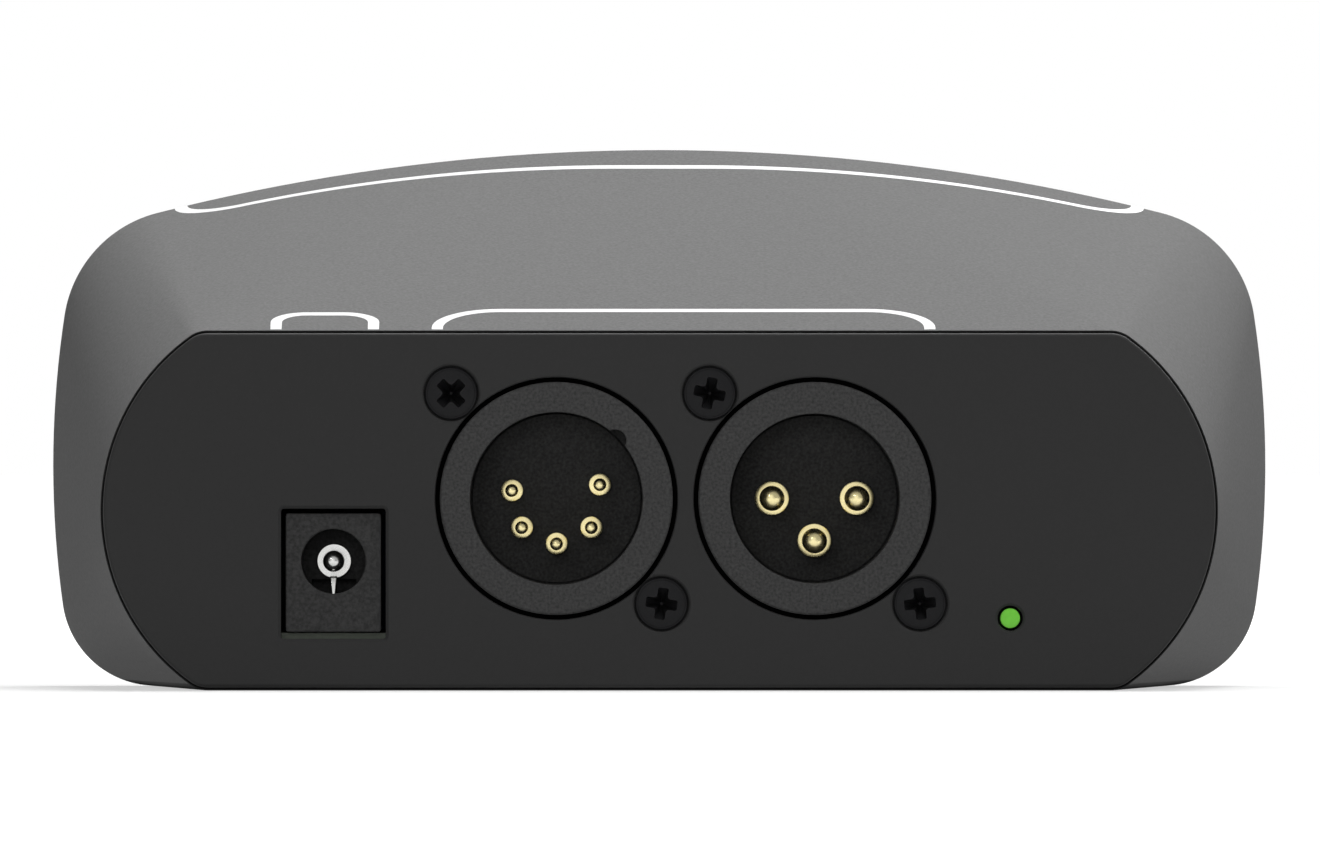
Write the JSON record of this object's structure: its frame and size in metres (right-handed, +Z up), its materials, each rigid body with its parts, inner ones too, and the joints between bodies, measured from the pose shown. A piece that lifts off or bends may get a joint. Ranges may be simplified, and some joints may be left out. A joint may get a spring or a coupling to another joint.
{
  "type": "dmx splitter",
  "caption": "Desk-top DMX splitter: grey housing that rises towards the rear, black end panels, round signal inputs and power jack in front, latching outputs behind.",
  "frame": {"origin": "under the middle of the housing, on the surface that it stands on", "axes": "+Z up, -Y the way the input panel looks, +Y the way the outputs look, +X to the right seen from the input side"},
  "size_m": [0.1166, 0.0704, 0.0516],
  "materials": {
    "shell_plastic": "fine matt grain",
    "panel_plastic": "smooth matt",
    "connector_plastic": "fine grain",
    "insert_plastic": "fine grain",
    "black_screw": "black oxide",
    "contact_gold": "gold plated",
    "jack_silver": "bright nickel",
    "latch_steel": "satin nickel",
    "board_laminate": "solder mask",
    "chip_epoxy": "moulded epoxy",
    "capacitor_can": "sleeved can",
    "status_light": "lit green"
  },
  "bodies": {
    "root": {"base_plate": "panel_plastic", "base_screw_front_left": "black_screw", "base_screw_front_right": "black_screw", "base_screw_rear_left": "black_screw", "base_screw_rear_right": "black_screw", "bulk_capacitor": "capacitor_can", "circuit_board": "board_laminate", "converter_1": "chip_epoxy", "converter_2": "chip_epoxy", "converter_3": "chip_epoxy", "converter_4": "chip_epoxy", "dc_jack_center_pin": "jack_silver", "dc_jack_housing": "insert_plastic", "dc_jack_spring_contact": "jack_silver", "front_panel": "panel_plastic", "input_3pin_housing": "connector_plastic", "input_3pin_pin_1": "contact_gold", "input_3pin_pin_2": "contact_gold", "input_3pin_pin_3": "contact_gold", "input_3pin_screw_lower": "black_screw", "input_3pin_screw_upper": "black_screw", "input_5pin_housing": "connector_plastic", "input_5pin_pin_1": "contact_gold", "input_5pin_pin_2": "contact_gold", "input_5pin_pin_3": "contact_gold", "input_5pin_pin_4": "contact_gold", "input_5pin_pin_5": "contact_gold", "input_5pin_screw_lower": "black_screw", "input_5pin_screw_upper": "black_screw", "light_pipe": "status_light", "line_driver_1": "chip_epoxy", "line_driver_2": "chip_epoxy", "line_driver_3": "chip_epoxy", "line_driver_4": "chip_epoxy", "line_receiver": "chip_epoxy", "output_1_housing": "connector_plastic", "output_1_insert": "insert_plastic", "output_1_screw_lower": "black_screw", "output_1_screw_upper": "black_screw", "output_2_housing": "connector_plastic", "output_2_insert": "insert_plastic", "output_2_screw_lower": "black_screw", "output_2_screw_upper": "black_screw", "output_3_housing": "connector_plastic", "output_3_insert": "insert_plastic", "output_3_screw_lower": "black_screw", "output_3_screw_upper": "black_screw", "output_4_housing": "connector_plastic", "output_4_insert": "insert_plastic", "output_4_screw_lower": "black_screw", "output_4_screw_upper": "black_screw", "power_led": "status_light", "rear_panel": "panel_plastic", "top_shell": "shell_plastic"},
    "latch_1": {"output_1_latch_lever": "latch_steel"},
    "latch_2": {"output_2_latch_lever": "latch_steel"},
    "latch_3": {"output_3_latch_lever": "latch_steel"},
    "latch_4": {"output_4_latch_lever": "latch_steel"}
  },
  "joints": [
    {"name": "latch_1_press", "type": "hinge", "parent": "root", "child": "latch_1", "pos_m": [0.0366, 0.0324, 0.03273], "axis": [-1, 0, 0], "range_deg": [0, 12], "stiffness_Nm_per_rad": 0.02},
    {"name": "latch_2_press", "type": "hinge", "parent": "root", "child": "latch_2", "pos_m": [0.0122, 0.0324, 0.03273], "axis": [-1, 0, 0], "range_deg": [0, 12], "stiffness_Nm_per_rad": 0.02},
    {"name": "latch_3_press", "type": "hinge", "parent": "root", "child": "latch_3", "pos_m": [-0.0122, 0.0324, 0.03273], "axis": [-1, 0, 0], "range_deg": [0, 12], "stiffness_Nm_per_rad": 0.02},
    {"name": "latch_4_press", "type": "hinge", "parent": "root", "child": "latch_4", "pos_m": [-0.0366, 0.0324, 0.03273], "axis": [-1, 0, 0], "range_deg": [0, 12], "stiffness_Nm_per_rad": 0.02}
  ]
}
